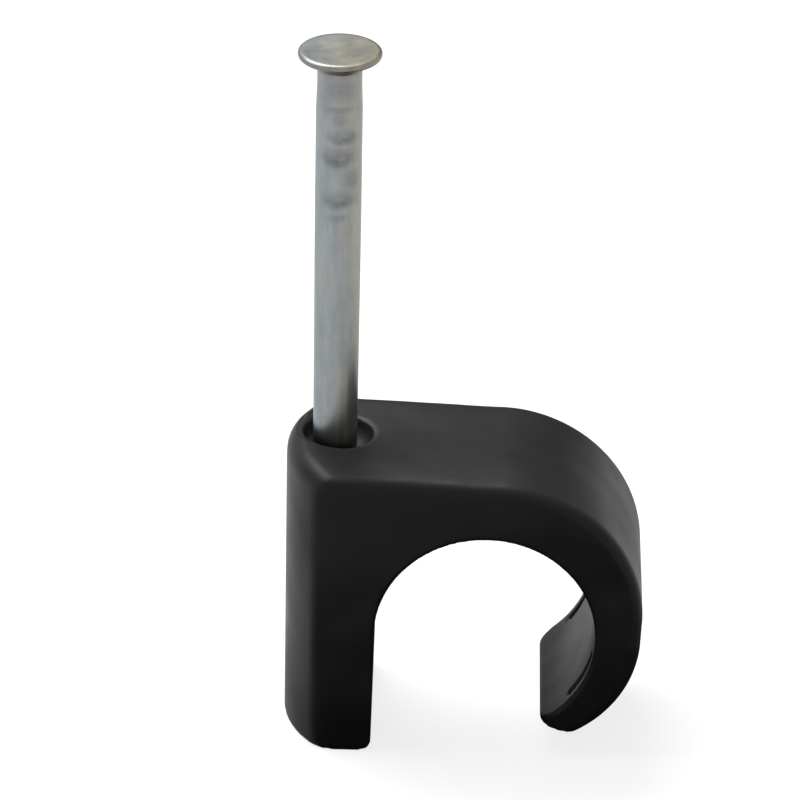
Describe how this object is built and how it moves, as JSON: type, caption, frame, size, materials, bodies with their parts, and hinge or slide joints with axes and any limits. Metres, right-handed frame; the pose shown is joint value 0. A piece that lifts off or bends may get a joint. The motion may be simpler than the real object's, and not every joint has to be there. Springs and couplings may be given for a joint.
{
  "type": "nail-in cable clip",
  "caption": "Black moulded hook clip for round cable, with a flat foot, an open round channel and a plated steel nail standing ready in its leg.",
  "frame": {"origin": "on the wall plane, under the middle of the part's bounding box", "axes": "+Z away from the wall along the nail, +Y along the cable, +X from the nail towards the hook"},
  "size_m": [0.0162, 0.0082, 0.0331],
  "materials": {
    "black_plastic": "satin moulded plastic",
    "plated_steel": "zinc plate over drawn wire"
  },
  "bodies": {
    "clip_body": {"clip": "black_plastic"},
    "nail_body": {"nail": "plated_steel"}
  },
  "joints": [
    {"name": "nail_drive", "type": "slide", "parent": "clip_body", "child": "nail_body", "axis": [0, 0, -1], "range_m": [0, 0.0184]}
  ]
}
